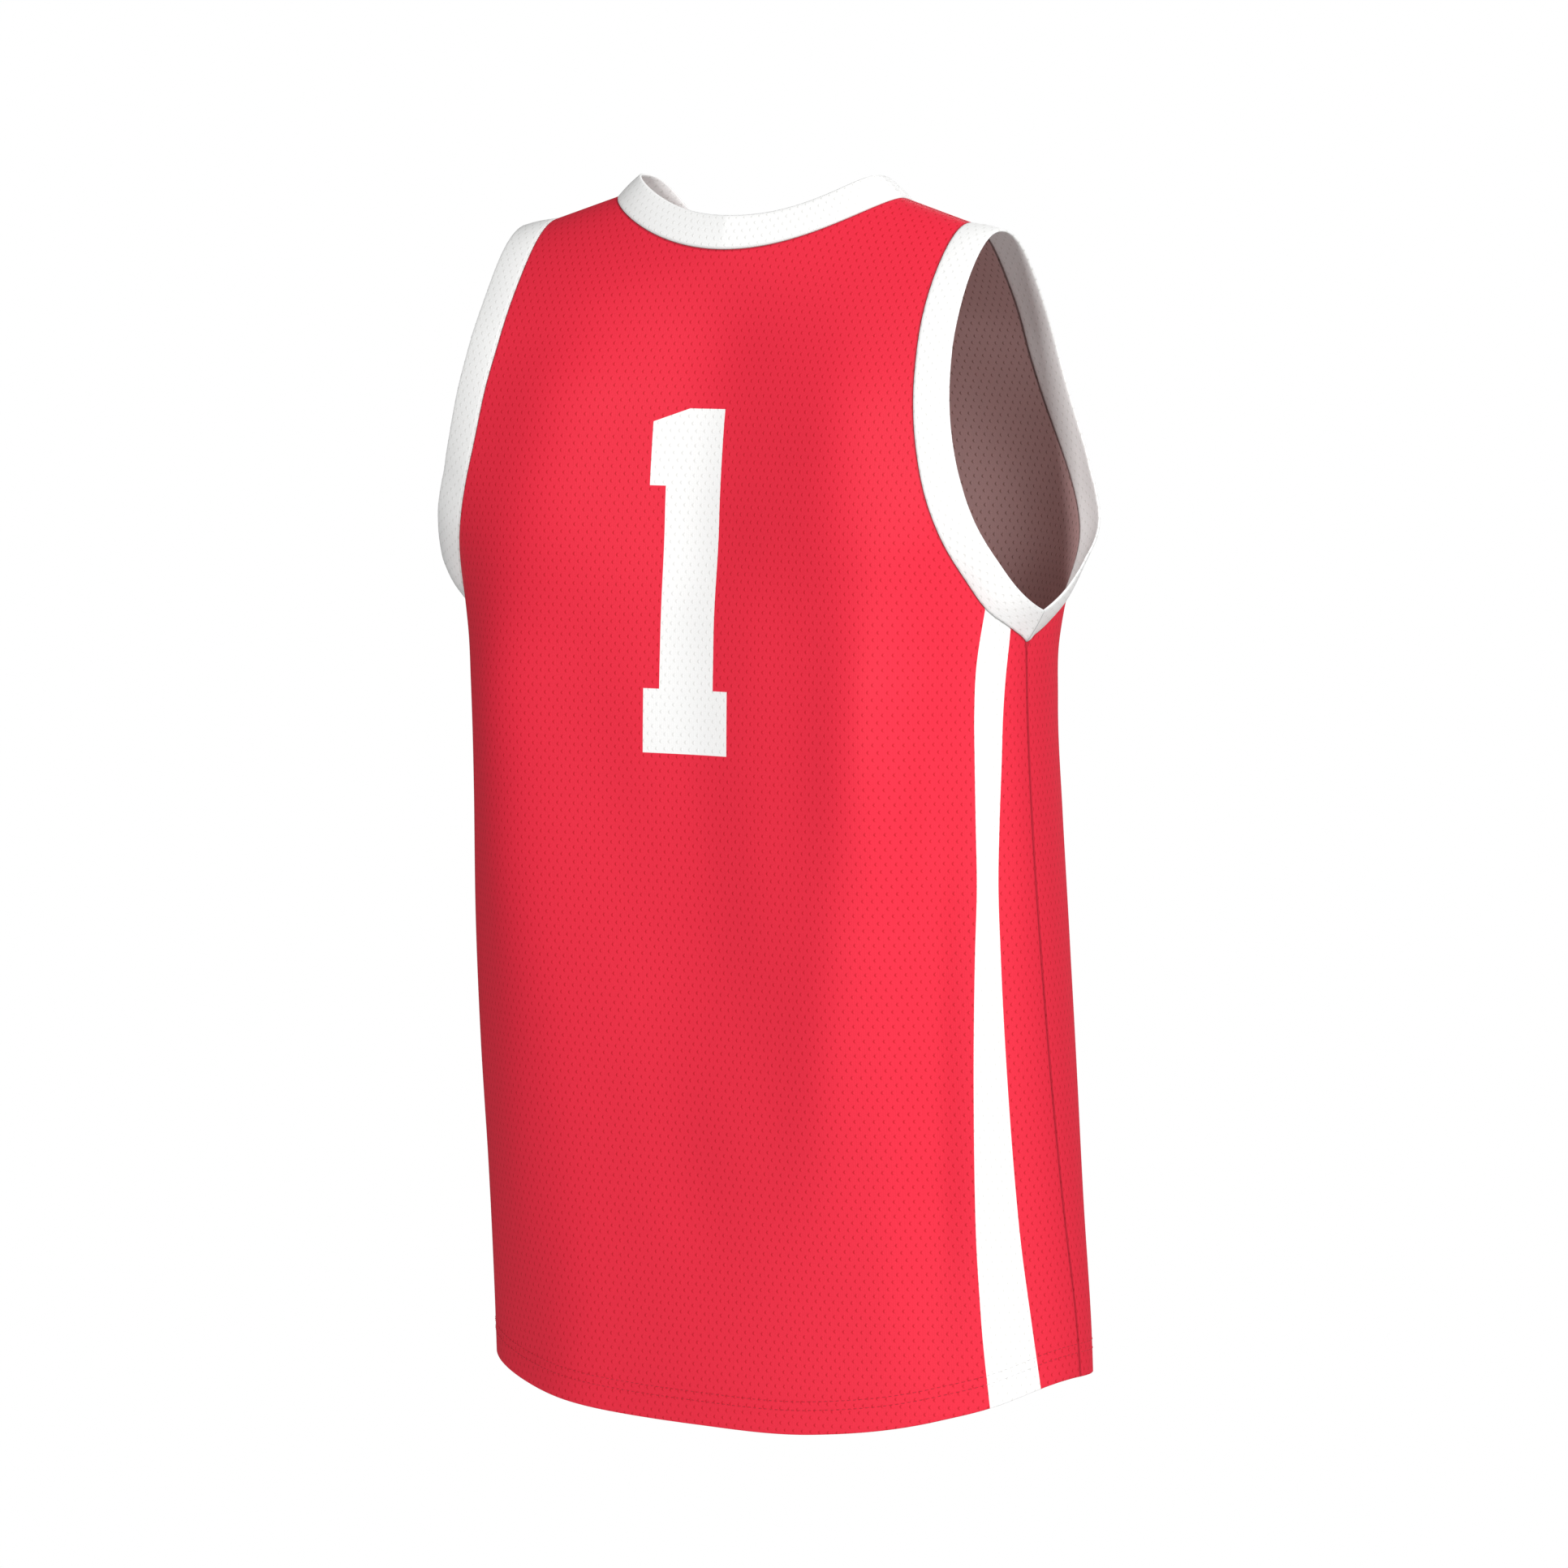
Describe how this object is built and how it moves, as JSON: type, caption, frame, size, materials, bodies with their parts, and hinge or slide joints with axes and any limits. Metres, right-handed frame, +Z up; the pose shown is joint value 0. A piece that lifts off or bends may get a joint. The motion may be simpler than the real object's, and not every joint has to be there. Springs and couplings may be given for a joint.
{
  "type": "basketball jersey",
  "caption": "Sleeveless knit basketball jersey, filled out as worn, with a banded neck and armholes, a curved hem and an open hollow body.",
  "frame": {"origin": "middle of the neck, level with the neck ends of the shoulder seams, where the wearer's shoulders hold the jersey up", "axes": "+Z up, +Y out of the back, -Y out of the front, +X towards the wearer's left"},
  "size_m": [0.443, 0.2147, 0.7835],
  "materials": {
    "red_mesh_knit": "matte polyester mesh knit with small staggered eyelets",
    "white_rib_knit": "matte white rib knit"
  },
  "bodies": {
    "root": {"back": "red_mesh_knit", "front": "red_mesh_knit", "collar": "white_rib_knit", "armhole_band_left": "white_rib_knit", "armhole_band_right": "white_rib_knit"}
  },
  "joints": []
}
